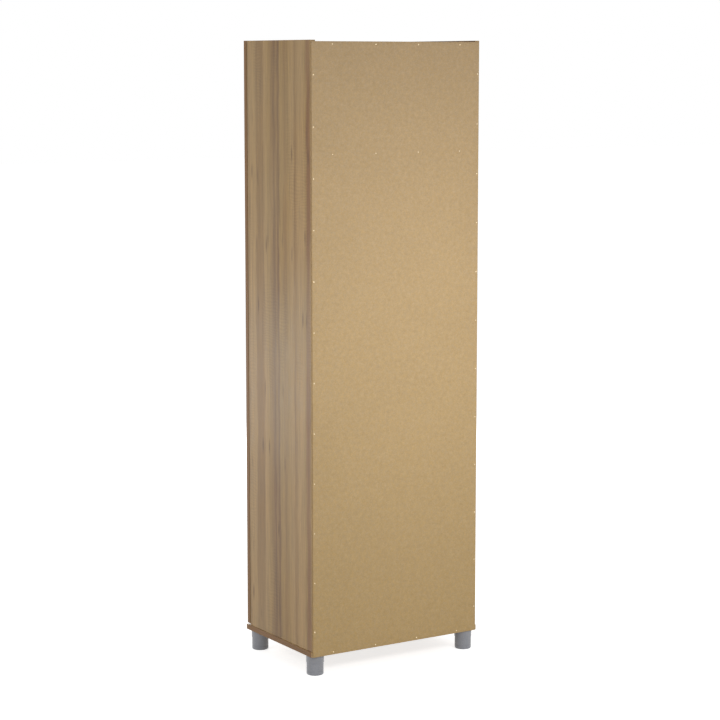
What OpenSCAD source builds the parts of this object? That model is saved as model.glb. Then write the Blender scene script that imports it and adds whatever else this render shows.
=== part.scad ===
// Tall two-door pantry cabinet in 16 mm wood-grain board with a nailed hardboard back,
// standing on four round levelling feet. Millimetres, +Z up, doors face -Y.
// The origin is on the floor, at the middle of the outside box.

/* [Cabinet] */
// Width over the two side panels
cabinet_w = 596; // [480:1:800]
// Height from the floor to the tops of the side panels
cabinet_h = 1887; // [1500:1:2300]
// Depth from the door fronts to the back edges of the side panels
cabinet_d = 391; // [300:1:600]

/* [Boards] */
// Thickness of the sides, top, base and shelves
board_t = 16; // [15:0.5:22]
// Thickness of the hardboard back
back_t = 3; // [2.5:0.5:5]
// How far the top panel lies below the tops of the sides
top_drop = 4; // [0:0.5:12]
// How far the base sticks out past each side panel
base_side_lip = 2.4; // [0:0.2:6]
// How far the base sticks out past the door fronts
base_front_lip = 2; // [0:0.5:10]
// How far each long edge of the back lies in from the side's outer face
back_inset = 2.5; // [1:0.5:6]

/* [Shelves] */
// From the tops of the sides down to the middle of the fixed shelf
fixed_shelf_drop = 330.5; // [260:0.5:400]
// How far the front edge of a loose shelf lies behind the side's front edge
shelf_setback = 25; // [10:1:60]
// Gap at each end of a loose shelf
shelf_end_gap = 1; // [0.5:0.5:3]
// Diameter of a shelf pin and its hole
pin_d = 5; // [4:0.5:7]
// Depth of a shelf pin's hole
pin_hole_depth = 11; // [8:0.5:12]
// Spacing of the holes in a row
pin_pitch = 32; // [25:1:50]
// From the side's front or back edge to a row of holes
pin_row_inset = 37; // [30:1:60]

/* [Doors] */
// Thickness of a door
door_t = 16; // [15:0.5:19]
// Gap between the back of a door and the carcass
door_gap = 3; // [2:0.5:4]
// Gap between the two doors
door_middle_gap = 3; // [2:0.5:6]
// Gap between the base and the bottom of a door
door_bottom_gap = 4.5; // [2:0.5:10]

/* [Hinges] */
// From a door's end to the middle of the nearest hinge
hinge_end = 100; // [80:1:160]
// Diameter of the hinge cup's bore
cup_d = 35; // [26:1:40]
// Depth of the hinge cup's bore
cup_depth = 12; // [11:0.5:13]
// Wall of the hinge cup
cup_wall = 0.8; // [0.6:0.1:1.2]
// From the door's edge to the cup's bore
cup_edge = 3; // [3:0.5:6]
// From the door's edge to the hinge pin
hinge_pin_inset = 6.5; // [6.5:0.1:7]
// From the door's back face to the hinge pin
hinge_pin_depth = 7.5; // [7:0.1:8]
// Diameter of the hinge pin
hinge_pin_d = 2.5; // [2:0.1:2.6]
// Clearance of the hinge arm's eye around its pin
hinge_pin_clear = 0.05; // [0.02:0.01:0.1]
// Thickness of the hinge arm's steel
arm_t = 2; // [1.5:0.1:2]
// Width of the hinge arm where it enters the cup
arm_neck_w = 8; // [6:0.5:9]
// Width of the hinge arm over its mounting plate
arm_w = 14; // [10:0.5:16]

/* [Handles] */
// Length of a handle's bar
handle_len = 224; // [120:1:500]
// Distance between a handle's two posts
handle_spacing = 192; // [96:1:448]
// Diameter of a handle's bar
handle_d = 12; // [8:0.5:16]
// Diameter of a handle's posts
handle_post_d = 9; // [7:0.5:12]
// From the door's face to the middle of the bar
handle_stand = 29; // [25:1:40]
// From the door's free edge to the handle's middle
handle_inset = 40; // [30:1:60]
// Height of a handle's middle above the floor
handle_z = 1020; // [800:1:1200]

/* [Feet] */
// Height of the base's underside above the floor
foot_h = 60; // [55:1:80]
// Outer diameter of a foot's collar
collar_d = 54; // [50:0.5:70]
// Height of a foot's collar
collar_h = 22; // [20:0.5:30]
// Outer diameter of a foot
foot_d = 51.5; // [46:0.5:51.5]
// Clearance between a foot and the inside of its collar
foot_clear = 0.25; // [0.2:0.05:0.3]
// How far a foot screws out
foot_travel = 12; // [5:0.5:14]
// Radius of a foot's bottom edge
foot_round = 4; // [1:0.5:6]
// From the side panel's outer face to a foot's middle
foot_side_inset = 27; // [27:0.5:60]
// From the side panel's back edge to a rear foot's middle
foot_back_inset = 28; // [28:0.5:80]
// From the base's front edge to a front foot's middle
foot_front_inset = 33.5; // [28:0.5:80]

/* [Fasteners] */
// Spacing of the brads down each side
brad_pitch = 150; // [60:1:200]
// From the tops of the sides to the first side brad
brad_first = 100; // [60:1:140]
// From the cabinet's middle to the inner brads of a cross row
brad_row_inner = 75; // [60:1:100]
// From the cabinet's middle to the outer brads of a cross row
brad_row_outer = 225; // [150:1:225]
// Diameter of a brad's head
brad_head_d = 3.4; // [2:0.1:5]
// Height of a brad's head
brad_head_h = 0.8; // [0.4:0.1:1.5]
// Diameter of a brad's shank
brad_d = 1.5; // [1:0.1:2]
// Length of a brad's shank
brad_len = 22; // [15:1:30]
// Diameter of a wooden dowel
dowel_d = 8; // [6:0.5:8]
// Length of a wooden dowel
dowel_len = 30; // [25:1:40]
// Diameter of a cam lock
cam_d = 15; // [12:0.5:15]
// Depth of a cam lock's bore
cam_depth = 12.5; // [12:0.1:13]
// From the end of a board to the middle of its cam lock
cam_inset = 24; // [24:0.5:34]
// From a board's front or back edge to its cam locks and base screws
joint_inset = 60; // [56:1:90]
// From a cam lock to the dowel beside it
dowel_step = 32; // [20:1:50]

/* [Hidden] */
$fn = 48;

RIGHT = 1;
LEFT = -1;
eps = 0.5;

// Colours
board_colour = "#a5916f";
door_colour = "#967f60";
hardboard_colour = "#b89c76";
foot_colour = "#85878a";
metal_colour = "#b4b3ad";

// Depth direction: the handles are the frontmost thing and the brad heads the rearmost
handle_out = handle_stand + handle_d / 2;
outside_d = handle_out + cabinet_d + back_t + brad_head_h;
side_back_y = outside_d / 2 - brad_head_h - back_t;
door_front_y = side_back_y - cabinet_d;
door_back_y = door_front_y + door_t;
side_front_y = door_back_y + door_gap;
base_front_y = door_front_y - base_front_lip;

// Width direction
side_x = cabinet_w / 2;
inner_x = side_x - board_t;
base_x = side_x + base_side_lip;

// Heights
base_top_z = foot_h + board_t;
top_z = cabinet_h - top_drop;
top_under_z = top_z - board_t;
fixed_shelf_z = cabinet_h - fixed_shelf_drop - board_t / 2;
door_z = base_top_z + door_bottom_gap;
door_h = cabinet_h - door_z;
hinge_zs = [door_z + hinge_end, door_z + door_h / 2, cabinet_h - hinge_end];

// Doors
door_w = side_x - door_middle_gap / 2;
handle_x = door_middle_gap / 2 + handle_inset;
post_zs = [handle_z - handle_spacing / 2, handle_z + handle_spacing / 2];

// Loose shelves share the space under the fixed shelf evenly, and rest on their pins
loose_shelves = 3;
shelf_step = (fixed_shelf_z - base_top_z) / (loose_shelves + 1);
holes_per_shelf = 5;
pin_flange_d = 8;
pin_flange_t = 1.5;
pin_stub = 8;
pin_in_hole = pin_hole_depth - 1;
pin_ys = [side_front_y + pin_row_inset, side_back_y - pin_row_inset];

// Joints between the boards
joint_ys = [side_front_y + joint_inset, side_back_y - joint_inset];
dowel_ys = [joint_ys[0] + dowel_step, joint_ys[1] - dowel_step];
cam_zs = [top_under_z, fixed_shelf_z];
dowel_in_side = 10;
cam_bolt_thread_d = 5;
cam_bolt_d = 6;
cam_bolt_hole_d = 8;
cam_bolt_thread = 11;
cam_bolt_head = 4;
cam_bolt_short = 1.5;
cam_bolt_reach = cam_inset - cam_bolt_short;
cam_bolt_head_d = 6.8;
cam_slot_d = 7.2;
cam_driver_slot = 1.6;
cam_slot_deep = 2;
base_screw_d = 5;
base_screw_head_d = 10;
base_screw_head_h = 4;
base_screw_len = 50;

// Brads: a column down each side, and a row across the top, the fixed shelf and the base
brad_in_board = brad_len - back_t;
brad_x = side_x - board_t / 2;
brad_above_base = 30;
brad_low = base_top_z + brad_above_base;
brad_rows = floor((cabinet_h - brad_first - brad_low) / brad_pitch);
side_brad_zs = [for (i = [0:brad_rows]) cabinet_h - brad_first - i * brad_pitch];
row_brad_xs = [-brad_row_outer, -brad_row_inner, brad_row_inner, brad_row_outer];
row_brad_zs = [top_z - board_t / 2, fixed_shelf_z + board_t / 2, foot_h + board_t / 2];
back_w = cabinet_w - 2 * back_inset;

// Hinge, in its own frame: the origin is on the side panel's front edge at its outer face,
// +X runs inwards across the door and +Y runs forwards, out of the cabinet
cup_x = cup_edge + cup_d / 2;
hinge_pin_y = door_gap + hinge_pin_depth;
hinge_eye_d = 4;
cup_flange_t = 1;
cup_rim_w = 1.5;
cup_flange_d = cup_d + 2 * cup_rim_w;
ear_w = 12;
ear_shift = 6;
ear_z = 24;
cup_screw_d = 3.5;
cup_screw_len = 11;
cup_screw_head_d = 7;
cup_screw_head_h = 1.2;
plate_t = 3;
plate_w = 18;
plate_h = 52;
ridge_w = 12;
ridge_t = 5;
ridge_front = 15;
ridge_back = 58;
plate_row = 37;
plate_screw_z = 16;
plate_screw_d = 4;
plate_screw_in = 11;
plate_screw_head_d = 7;
plate_screw_head_h = 1.5;
arm_x = board_t + plate_t + ridge_t;
arm_screw_y = 46;
arm_screw_d = 5;
arm_screw_head_d = 8;
arm_screw_head_h = 1.5;
arm_screw_in = 6;

// Door bumpers and handle screws
bumper_d = 8;
bumper_clear = 0.3;
bumper_inset = 14;
bumper_x = door_middle_gap / 2 + bumper_inset;
bumper_zs = [top_under_z + board_t / 2, fixed_shelf_z + board_t / 2];
handle_screw_d = 4;
handle_screw_in = 10;
handle_screw_head_d = 8;
handle_screw_head_h = 2.5;

// Feet
foot_x = side_x - foot_side_inset;
rear_foot_y = side_back_y - foot_back_inset;
front_foot_y = base_front_y + foot_front_inset;
collar_plate_t = 3;
collar_under_z = foot_h - collar_plate_t;
collar_low_z = foot_h - collar_h;
foot_stop_gap = 0.2;
foot_wall = 3;
foot_floor = 4;
stem_d = 12;
stem_clear = 0.05;
boss_wall = 3;
stem_grip = 4;
boss_low_z = collar_under_z - foot_travel - stem_grip;
collar_screw_ring = 17;
collar_screws_each = 3;
collar_screw_d = 4;
collar_screw_in = 12;
collar_screw_head_d = 7;
collar_screw_head_h = 2;

function shelf_z(index) = base_top_z + shelf_step * index - board_t / 2;

module block(low, high) translate(low) cube(high - low);

module rod_x(d, length) rotate([0, 90, 0]) cylinder(d = d, h = length);

module rod_y(d, length) rotate([-90, 0, 0]) cylinder(d = d, h = length);

// A piece drawn in the hinge's frame, put on the right or the left side
module at_hinge(hand, z) {
    translate([hand * side_x, side_front_y, z])
        mirror([hand == RIGHT ? 1 : 0, 0, 0])
            mirror([0, 1, 0])
                children();
}

// A piece drawn for the right-hand side, put on either side
module on_hand(hand) mirror([hand == LEFT ? 1 : 0, 0, 0]) children();

// ---------- places of the fasteners, drawn with the diameters asked for ----------

module side_brad_shanks() {
    for (z = side_brad_zs)
        translate([brad_x, side_back_y - brad_in_board, z]) rod_y(brad_d, brad_len);
}

module row_brad_shanks(z) {
    for (x = row_brad_xs)
        translate([x, side_back_y - brad_in_board, z]) rod_y(brad_d, brad_len);
}

module side_dowels() {
    for (y = dowel_ys, z = cam_zs)
        translate([inner_x - (dowel_len - dowel_in_side), y, z + board_t / 2]) rod_x(dowel_d, dowel_len);
}

module base_dowels() {
    for (y = dowel_ys)
        translate([brad_x, y, base_top_z - dowel_in_side]) cylinder(d = dowel_d, h = dowel_len);
}

module cam_threads() {
    for (y = joint_ys, z = cam_zs)
        translate([inner_x, y, z + board_t / 2]) rod_x(cam_bolt_thread_d, cam_bolt_thread);
}

module cam_bolt_stems(d, reach) {
    for (y = joint_ys, z = cam_zs)
        translate([inner_x - reach, y, z + board_t / 2]) rod_x(d, reach);
}

module base_screw_shapes() {
    for (y = joint_ys)
        translate([brad_x, y, foot_h]) {
            cylinder(d = base_screw_head_d, h = base_screw_head_h);
            cylinder(d = base_screw_d, h = base_screw_len);
        }
}

module pin_holes() {
    for (index = [1:loose_shelves], y = pin_ys, hole = [0:holes_per_shelf - 1])
        translate([inner_x, y, pin_z(index) + (hole - floor(holes_per_shelf / 2)) * pin_pitch])
            rod_x(pin_d, pin_hole_depth);
}

function pin_z(index) = shelf_z(index) - pin_d / 2;

module plate_screw_shanks() {
    for (z = hinge_zs, up = [-1, 1])
        at_hinge(RIGHT, z)
            translate([board_t - plate_screw_in, -plate_row, up * plate_screw_z])
                rod_x(plate_screw_d, plate_screw_in + plate_t);
}

// ---------- carcass ----------

module side_panel(hand) {
    color(board_colour)
        on_hand(hand)
            difference() {
                block([inner_x, side_front_y, base_top_z], [side_x, side_back_y, cabinet_h]);
                side_brad_shanks();
                side_dowels();
                base_dowels();
                cam_threads();
                base_screw_shapes();
                pin_holes();
                plate_screw_shanks();
            }
}

module right_side_panel() side_panel(RIGHT);

module left_side_panel() side_panel(LEFT);

// A board held between the sides by cam locks and dowels
module cam_board(z) {
    difference() {
        block([-inner_x, side_front_y, z], [inner_x, side_back_y, z + board_t]);
        row_brad_shanks(z + board_t / 2);
        for (hand = [RIGHT, LEFT])
            on_hand(hand) {
                side_dowels();
                cam_bolt_stems(cam_bolt_hole_d, cam_inset);
                for (y = joint_ys)
                    translate([inner_x - cam_inset, y, z - eps]) cylinder(d = cam_d, h = cam_depth + eps);
            }
    }
}

module top_panel() color(board_colour) cam_board(top_under_z);

module fixed_shelf() color(board_colour) cam_board(fixed_shelf_z);

module base_panel() {
    color(board_colour)
        difference() {
            block([-base_x, base_front_y, foot_h], [base_x, side_back_y, base_top_z]);
            row_brad_shanks(foot_h + board_t / 2);
            for (hand = [RIGHT, LEFT])
                on_hand(hand) {
                    base_dowels();
                    base_screw_shapes();
                    collar_screw_shapes(0);
                }
        }
}

module loose_shelf(index) {
    color(board_colour)
        block([-inner_x + shelf_end_gap, side_front_y + shelf_setback, shelf_z(index)],
              [inner_x - shelf_end_gap, side_back_y - shelf_end_gap, shelf_z(index) + board_t]);
}

module lower_loose_shelf() loose_shelf(1);

module middle_loose_shelf() loose_shelf(2);

module upper_loose_shelf() loose_shelf(3);

module all_brad_shanks() {
    for (hand = [RIGHT, LEFT]) on_hand(hand) side_brad_shanks();
    for (z = row_brad_zs) row_brad_shanks(z);
}

module back_panel() {
    color(hardboard_colour)
        difference() {
            block([-back_w / 2, side_back_y, foot_h], [back_w / 2, side_back_y + back_t, top_z]);
            all_brad_shanks();
        }
}

module brad_head(x, z) translate([x, side_back_y + back_t, z]) rod_y(brad_head_d, brad_head_h);

module back_brads() {
    color(metal_colour) {
        all_brad_shanks();
        for (x = [-brad_x, brad_x], z = side_brad_zs) brad_head(x, z);
        for (x = row_brad_xs, z = row_brad_zs) brad_head(x, z);
    }
}

// ---------- fasteners of the carcass ----------

module cam_lock() {
    difference() {
        cylinder(d = cam_d, h = cam_depth);
        translate([0, 0, board_t / 2]) rod_x(cam_slot_d, cam_d);
        translate([-cam_d / 4, -cam_driver_slot / 2, -eps])
            cube([cam_d / 2, cam_driver_slot, cam_slot_deep + eps]);
        translate([-cam_driver_slot / 2, -cam_d / 4, -eps])
            cube([cam_driver_slot, cam_d / 2, cam_slot_deep + eps]);
    }
}

module cam_locks() {
    color(metal_colour)
        for (hand = [RIGHT, LEFT], y = joint_ys, z = cam_zs)
            on_hand(hand) translate([inner_x - cam_inset, y, z]) cam_lock();
}

module cam_bolts() {
    color(metal_colour)
        for (hand = [RIGHT, LEFT])
            on_hand(hand) {
                cam_threads();
                cam_bolt_stems(cam_bolt_d, cam_bolt_reach - cam_bolt_head);
                for (y = joint_ys, z = cam_zs)
                    translate([inner_x - cam_bolt_reach, y, z + board_t / 2])
                        rod_x(cam_bolt_head_d, cam_bolt_head);
            }
}

module wood_dowels() {
    color("#c9a878")
        for (hand = [RIGHT, LEFT])
            on_hand(hand) {
                side_dowels();
                base_dowels();
            }
}

module base_screws() {
    color(metal_colour)
        for (hand = [RIGHT, LEFT]) on_hand(hand) base_screw_shapes();
}

module shelf_pins() {
    color(metal_colour)
        for (hand = [RIGHT, LEFT], index = [1:loose_shelves], y = pin_ys)
            on_hand(hand)
                translate([inner_x, y, pin_z(index)]) {
                    translate([-pin_stub, 0, 0]) rod_x(pin_d, pin_stub + pin_in_hole);
                    intersection() {
                        translate([-pin_flange_t, 0, 0]) rod_x(pin_flange_d, pin_flange_t);
                        block([-pin_flange_t, -pin_flange_d, -pin_flange_d], [0, pin_flange_d, pin_d / 2]);
                    }
                }
}

// ---------- hinges ----------

module hinge_plate() {
    difference() {
        union() {
            block([board_t, -plate_row - plate_w / 2, -plate_h / 2],
                  [board_t + plate_t, -plate_row + plate_w / 2, plate_h / 2]);
            block([board_t, -ridge_back, -ridge_w / 2], [arm_x, -ridge_front, ridge_w / 2]);
        }
        for (up = [-1, 1])
            translate([board_t, -plate_row, up * plate_screw_z])
                rod_x(plate_screw_d, plate_t);
        translate([arm_x - arm_screw_in, -arm_screw_y, 0]) rod_x(arm_screw_d, arm_screw_in);
    }
}

// A steel strip that lies on the plate's ridge, reaches into the cup and ends in the pin's eye
module hinge_arm() {
    difference() {
        union() {
            block([arm_x, -ridge_back, -arm_w / 2], [arm_x + arm_t, -ridge_front, arm_w / 2]);
            block([arm_x, -ridge_front, -arm_neck_w / 2], [arm_x + arm_t, hinge_pin_y + arm_t, arm_neck_w / 2]);
            block([hinge_pin_inset, hinge_pin_y, -arm_neck_w / 2],
                  [arm_x, hinge_pin_y + arm_t, arm_neck_w / 2]);
            translate([hinge_pin_inset, hinge_pin_y, -arm_neck_w / 2])
                cylinder(d = hinge_eye_d, h = arm_neck_w);
        }
        translate([hinge_pin_inset, hinge_pin_y, -arm_neck_w])
            cylinder(d = hinge_pin_d + 2 * hinge_pin_clear, h = 2 * arm_neck_w);
        translate([arm_x, -arm_screw_y, 0]) rod_x(arm_screw_d, arm_t);
    }
}

module hinge_plates(hand) color(metal_colour) for (z = hinge_zs) at_hinge(hand, z) hinge_plate();

module hinge_arms(hand) color(metal_colour) for (z = hinge_zs) at_hinge(hand, z) hinge_arm();

module right_hinge_plates() hinge_plates(RIGHT);

module left_hinge_plates() hinge_plates(LEFT);

module right_hinge_arms() hinge_arms(RIGHT);

module left_hinge_arms() hinge_arms(LEFT);

module hinge_plate_screws() {
    color(metal_colour)
        for (hand = [RIGHT, LEFT])
            on_hand(hand) {
                plate_screw_shanks();
                for (z = hinge_zs, up = [-1, 1])
                    at_hinge(RIGHT, z)
                        translate([board_t + plate_t, -plate_row, up * plate_screw_z])
                            rod_x(plate_screw_head_d, plate_screw_head_h);
            }
}

module hinge_arm_screws() {
    color(metal_colour)
        for (hand = [RIGHT, LEFT], z = hinge_zs)
            at_hinge(hand, z)
                translate([arm_x - arm_screw_in, -arm_screw_y, 0]) {
                    rod_x(arm_screw_d, arm_screw_in + arm_t);
                    translate([arm_screw_in + arm_t, 0, 0]) rod_x(arm_screw_head_d, arm_screw_head_h);
                }
}

// The pin's ends are rounded to lie inside the cup's wall
module hinge_pin(d) {
    intersection() {
        translate([hinge_pin_inset, hinge_pin_y, -cup_d / 2]) cylinder(d = d, h = cup_d);
        translate([cup_x, door_gap, 0]) rod_y(cup_d - cup_wall, cup_depth);
    }
}

module cup_screw_places() {
    for (up = [-1, 1]) translate([cup_x + ear_shift, door_gap, up * ear_z]) children();
}

module hinge_cup() {
    difference() {
        union() {
            translate([cup_x, door_gap, 0]) rod_y(cup_d, cup_depth);
            translate([cup_x, door_gap - cup_flange_t, 0]) rod_y(cup_flange_d, cup_flange_t);
            block([cup_x + ear_shift - ear_w / 2, door_gap - cup_flange_t, -ear_z],
                  [cup_x + ear_shift + ear_w / 2, door_gap, ear_z]);
            cup_screw_places() translate([0, -cup_flange_t, 0]) rod_y(ear_w, cup_flange_t);
        }
        translate([cup_x, door_gap - 2 * cup_flange_t, 0])
            rod_y(cup_d - 2 * cup_wall, cup_depth + 2 * cup_flange_t - cup_wall);
        hinge_pin(hinge_pin_d);
        cup_screw_places() translate([0, -cup_flange_t, 0]) rod_y(cup_screw_d, cup_flange_t);
    }
}

module hinge_cups(hand) color(metal_colour) for (z = hinge_zs) at_hinge(hand, z) hinge_cup();

module hinge_pins(hand) color(metal_colour) for (z = hinge_zs) at_hinge(hand, z) hinge_pin(hinge_pin_d);

module cup_screws(hand) {
    color(metal_colour)
        for (z = hinge_zs)
            at_hinge(hand, z)
                cup_screw_places() {
                    translate([0, -cup_flange_t, 0]) rod_y(cup_screw_d, cup_flange_t + cup_screw_len);
                    translate([0, -cup_flange_t - cup_screw_head_h, 0])
                        rod_y(cup_screw_head_d, cup_screw_head_h);
                }
}

module right_hinge_cups() hinge_cups(RIGHT);

module left_hinge_cups() hinge_cups(LEFT);

module right_hinge_pins() hinge_pins(RIGHT);

module left_hinge_pins() hinge_pins(LEFT);

module right_cup_screws() cup_screws(RIGHT);

module left_cup_screws() cup_screws(LEFT);

// ---------- doors ----------

module door_panel(hand) {
    color(door_colour)
        difference() {
            on_hand(hand)
                block([side_x - door_w, door_front_y, door_z], [side_x, door_back_y, cabinet_h]);
            for (z = hinge_zs)
                at_hinge(hand, z) {
                    translate([cup_x, door_gap - eps, 0]) rod_y(cup_d, cup_depth + eps);
                    cup_screw_places() rod_y(cup_screw_d, cup_screw_len);
                }
            on_hand(hand)
                for (z = post_zs)
                    translate([handle_x, door_front_y - eps, z]) rod_y(handle_screw_d, door_t + 2 * eps);
        }
}

module right_door_panel() door_panel(RIGHT);

module left_door_panel() door_panel(LEFT);

module handle(hand) {
    bar_y = door_front_y - handle_stand;
    color(metal_colour)
        on_hand(hand)
            difference() {
                union() {
                    translate([handle_x, bar_y, handle_z - handle_len / 2])
                        cylinder(d = handle_d, h = handle_len);
                    for (z = post_zs)
                        translate([handle_x, bar_y, z]) rod_y(handle_post_d, handle_stand);
                }
                for (z = post_zs)
                    translate([handle_x, door_front_y - handle_screw_in, z])
                        rod_y(handle_screw_d, handle_screw_in);
            }
}

module right_handle() handle(RIGHT);

module left_handle() handle(LEFT);

module handle_screws(hand) {
    color(metal_colour)
        on_hand(hand)
            for (z = post_zs)
                translate([handle_x, door_back_y, z]) {
                    translate([0, -door_t - handle_screw_in, 0])
                        rod_y(handle_screw_d, door_t + handle_screw_in);
                    rod_y(handle_screw_head_d, handle_screw_head_h);
                }
}

module right_handle_screws() handle_screws(RIGHT);

module left_handle_screws() handle_screws(LEFT);

module door_bumpers(hand) {
    color("white")
        on_hand(hand)
            for (z = bumper_zs)
                translate([bumper_x, door_back_y, z]) rod_y(bumper_d, door_gap - bumper_clear);
}

module right_door_bumpers() door_bumpers(RIGHT);

module left_door_bumpers() door_bumpers(LEFT);

// ---------- feet ----------

module foot_collar() {
    inner_d = foot_d + 2 * foot_clear;
    boss_d = stem_d + 2 * stem_clear + 2 * boss_wall;
    difference() {
        union() {
            difference() {
                translate([0, 0, collar_low_z]) cylinder(d = collar_d, h = collar_h);
                translate([0, 0, collar_low_z - eps])
                    cylinder(d = inner_d, h = collar_h - collar_plate_t + eps);
            }
            translate([0, 0, boss_low_z]) cylinder(d = boss_d, h = foot_h - boss_low_z);
        }
        translate([0, 0, boss_low_z - eps])
            cylinder(d = stem_d + 2 * stem_clear, h = collar_under_z - boss_low_z + eps);
        collar_screw_ring_places()
            translate([0, 0, collar_under_z - eps])
                cylinder(d = collar_screw_d, h = collar_plate_t + 2 * eps);
    }
}

module collar_screw_ring_places() {
    for (turn = [0:collar_screws_each - 1])
        rotate([0, 0, turn * 360 / collar_screws_each]) translate([collar_screw_ring, 0, 0]) children();
}

module foot_places() {
    for (y = [rear_foot_y, front_foot_y]) translate([foot_x, y, 0]) children();
}

module collar_screw_shapes(head_h) {
    foot_places()
        collar_screw_ring_places() {
            translate([0, 0, collar_under_z])
                cylinder(d = collar_screw_d, h = collar_plate_t + collar_screw_in);
            if (head_h > 0)
                translate([0, 0, collar_under_z - head_h])
                    cylinder(d = collar_screw_head_d, h = head_h);
        }
}

module foot_collars() {
    color(foot_colour)
        for (hand = [RIGHT, LEFT]) on_hand(hand) foot_places() foot_collar();
}

module collar_screws() {
    color(metal_colour)
        for (hand = [RIGHT, LEFT]) on_hand(hand) collar_screw_shapes(collar_screw_head_h);
}

// A cup with a rounded bottom edge, and the stem that screws into the collar's boss
module foot(hand, y) {
    rim_z = collar_under_z - foot_stop_gap;
    color(foot_colour)
        on_hand(hand)
            translate([foot_x, y, 0]) {
                rotate_extrude()
                    difference() {
                        union() {
                            square([foot_d / 2 - foot_round, foot_round]);
                            translate([foot_d / 2 - foot_round, foot_round]) circle(r = foot_round);
                            translate([0, foot_round]) square([foot_d / 2, rim_z - foot_round]);
                        }
                        translate([stem_d / 2, foot_floor])
                            square([foot_d / 2 - foot_wall - stem_d / 2, rim_z]);
                    }
            }
}

module rear_right_foot() foot(RIGHT, rear_foot_y);

module rear_left_foot() foot(LEFT, rear_foot_y);

module front_right_foot() foot(RIGHT, front_foot_y);

module front_left_foot() foot(LEFT, front_foot_y);

right_side_panel();
left_side_panel();
top_panel();
base_panel();
fixed_shelf();
lower_loose_shelf();
middle_loose_shelf();
upper_loose_shelf();
back_panel();
back_brads();
cam_locks();
cam_bolts();
wood_dowels();
base_screws();
shelf_pins();
right_hinge_plates();
left_hinge_plates();
right_hinge_arms();
left_hinge_arms();
hinge_plate_screws();
hinge_arm_screws();
foot_collars();
collar_screws();
right_door_panel();
right_hinge_cups();
right_hinge_pins();
right_cup_screws();
right_handle();
right_handle_screws();
right_door_bumpers();
left_door_panel();
left_hinge_cups();
left_hinge_pins();
left_cup_screws();
left_handle();
left_handle_screws();
left_door_bumpers();
rear_right_foot();
rear_left_foot();
front_right_foot();
front_left_foot();
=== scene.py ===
"""A tall pantry cabinet in wood-grain foiled board, built around the fixed CAD frame."""

import math

import bmesh
import bpy
from bpy.props import FloatProperty, FloatVectorProperty, PointerProperty
from bpy.types import Operator, Panel, PropertyGroup
from mathutils import Matrix, Vector


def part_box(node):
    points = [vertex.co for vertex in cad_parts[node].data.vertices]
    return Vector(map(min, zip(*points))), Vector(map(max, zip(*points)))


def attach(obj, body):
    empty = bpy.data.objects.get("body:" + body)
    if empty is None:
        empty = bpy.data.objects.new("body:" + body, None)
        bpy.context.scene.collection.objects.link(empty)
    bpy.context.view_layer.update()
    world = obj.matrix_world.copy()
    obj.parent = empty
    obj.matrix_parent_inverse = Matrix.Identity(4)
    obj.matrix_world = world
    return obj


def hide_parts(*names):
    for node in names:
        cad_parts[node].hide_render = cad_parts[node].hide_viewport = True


bl_info = {
    "name": "Pantry Cabinet",
    "version": (1, 0, 0),
    "blender": (4, 5, 0),
    "location": "3D View > Sidebar > Pantry",
    "description": "Builds the visible pieces of a tall pantry cabinet around its CAD frame",
    "category": "Add Mesh",
}

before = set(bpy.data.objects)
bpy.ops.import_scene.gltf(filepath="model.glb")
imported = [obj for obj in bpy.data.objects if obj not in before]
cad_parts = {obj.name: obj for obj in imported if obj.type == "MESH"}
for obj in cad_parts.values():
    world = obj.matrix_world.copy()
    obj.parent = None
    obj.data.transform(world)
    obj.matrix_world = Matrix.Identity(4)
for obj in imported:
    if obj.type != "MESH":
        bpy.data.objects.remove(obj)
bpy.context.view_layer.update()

MM = 0.001
AXES = {"X": 0, "Y": 1, "Z": 2}
HANDS = ("right", "left")
FEET = ("rear_right_foot", "rear_left_foot", "front_right_foot", "front_left_foot")
SHADER_SOCKETS = {
    "ior": "IOR",
    "metallic": "Metallic",
    "transmission": "Transmission Weight",
    "specular": "Specular IOR Level",
}


# ---------------------------------------------------------------- colours and settings


def srgb(code):
    """A #rrggbb colour as linear red, green and blue."""
    parts = [int(code[i : i + 2], 16) / 255 for i in (1, 3, 5)]
    return tuple(p / 12.92 if p <= 0.04045 else ((p + 0.055) / 1.055) ** 2.4 for p in parts)


def colour(name, description, code):
    """A colour that a user can change."""
    return FloatVectorProperty(
        name=name, description=description, default=srgb(code), subtype="COLOR", min=0, max=1
    )


def length(name, description, default):
    """A length in metres that a user can change."""
    return FloatProperty(name=name, description=description, default=default, unit="LENGTH")


class PantrySizes(PropertyGroup):
    """Small sizes that the looks add to the CAD frame."""

    board_round: length("Board edge", "Radius of a foiled board's edges", 0.6 * MM)
    metal_round: length("Metal edge", "Radius of a metal part's edges", 0.25 * MM)
    sheet_wave: length("Sheet wave", "How far the back bulges between its brads", 0.5 * MM)
    sheet_dimple: length("Sheet dimple", "How deep a brad pulls the back in", 0.35 * MM)
    foot_groove: length("Foot groove", "Depth of the groove round a foot", 0.5 * MM)


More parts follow.
